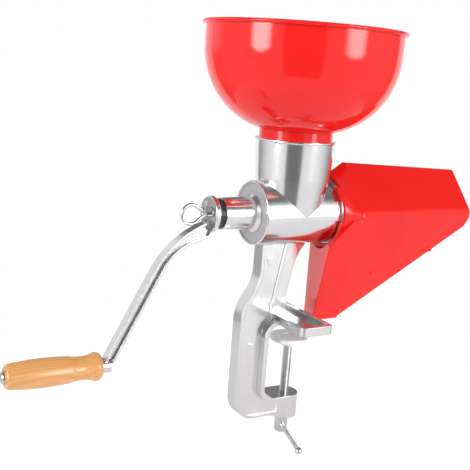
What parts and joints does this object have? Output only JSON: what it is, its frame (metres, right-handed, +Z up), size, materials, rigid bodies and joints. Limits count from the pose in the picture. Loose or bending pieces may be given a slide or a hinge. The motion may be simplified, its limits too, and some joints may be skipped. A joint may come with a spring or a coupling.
{
  "type": "hand-crank tomato press",
  "caption": "Hand-crank tomato press: bowl hopper on a cast barrel with table clamp, swept crank with wooden grip, spiral in a strainer cone under a spouted hood.",
  "frame": {"origin": "where the clamp screw's axis meets the underside of the upper jaw, which rests on the table top", "axes": "+X along the crank axis from the crank towards the hood, +Z up along the clamp screw, +Y across"},
  "size_m": [0.5016, 0.2, 0.4209],
  "materials": {
    "cast_aluminium": "bright tumbled casting",
    "red_plastic": "glossy moulded",
    "black_plastic": "satin moulded",
    "white_plastic": "satin moulded",
    "rubber": "moulded",
    "strainer_steel": "rolled sheet",
    "turned_steel": "turned",
    "zinc_steel": "zinc plated",
    "beech": "varnished"
  },
  "bodies": {
    "frame": {"body_casting": "cast_aluminium", "nose_bush": "black_plastic", "chute": "red_plastic", "mouth_gasket": "rubber", "cone_ring": "strainer_steel", "strainer_cone": "strainer_steel", "tip_ring": "strainer_steel"},
    "hopper": {"hopper": "red_plastic"},
    "crank": {"drive_shaft": "turned_steel", "shaft_seal": "rubber", "thrust_washer": "white_plastic", "thrust_spring": "turned_steel", "auger": "white_plastic", "auger_pin": "turned_steel", "crank_arm": "cast_aluminium", "hub_washer": "turned_steel", "eye_screw": "turned_steel", "grip_pin": "turned_steel", "grip_washer": "turned_steel", "pin_head": "turned_steel"},
    "grip": {"grip": "beech"},
    "pad": {"clamp_pad": "zinc_steel"},
    "screw": {"clamp_screw": "zinc_steel", "pad_rivet": "zinc_steel"},
    "bar": {"tommy_bar": "zinc_steel", "bar_end_near": "zinc_steel", "bar_end_far": "zinc_steel"}
  },
  "joints": [
    {"name": "hopper_lift", "type": "slide", "parent": "frame", "child": "hopper", "axis": [0, 0, 1], "range_m": [0, 0.031]},
    {"name": "crank_spin", "type": "hinge", "parent": "frame", "child": "crank", "pos_m": [0, 0, 0.115], "axis": [1, 0, 0], "continuous": true},
    {"name": "grip_spin", "type": "hinge", "parent": "crank", "child": "grip", "pos_m": [-0.2533, 0, -0.0258], "axis": [1, 0, 0], "continuous": true},
    {"name": "pad_travel", "type": "slide", "parent": "frame", "child": "pad", "axis": [0, 0, 1], "range_m": [-0.0502, 0]},
    {"name": "screw_turn", "type": "hinge", "parent": "pad", "child": "screw", "pos_m": [0, 0, -0.05], "axis": [0, 0, 1], "range_deg": [-7200, 0]},
    {"name": "bar_slide", "type": "slide", "parent": "screw", "child": "bar", "axis": [-0.2924, -0.9563, 0], "range_m": [-0.0537, 0]}
  ],
  "couplings": [
    {"joint": "pad_travel", "follows": "screw_turn", "m_per_rad": 0.00039789}
  ]
}
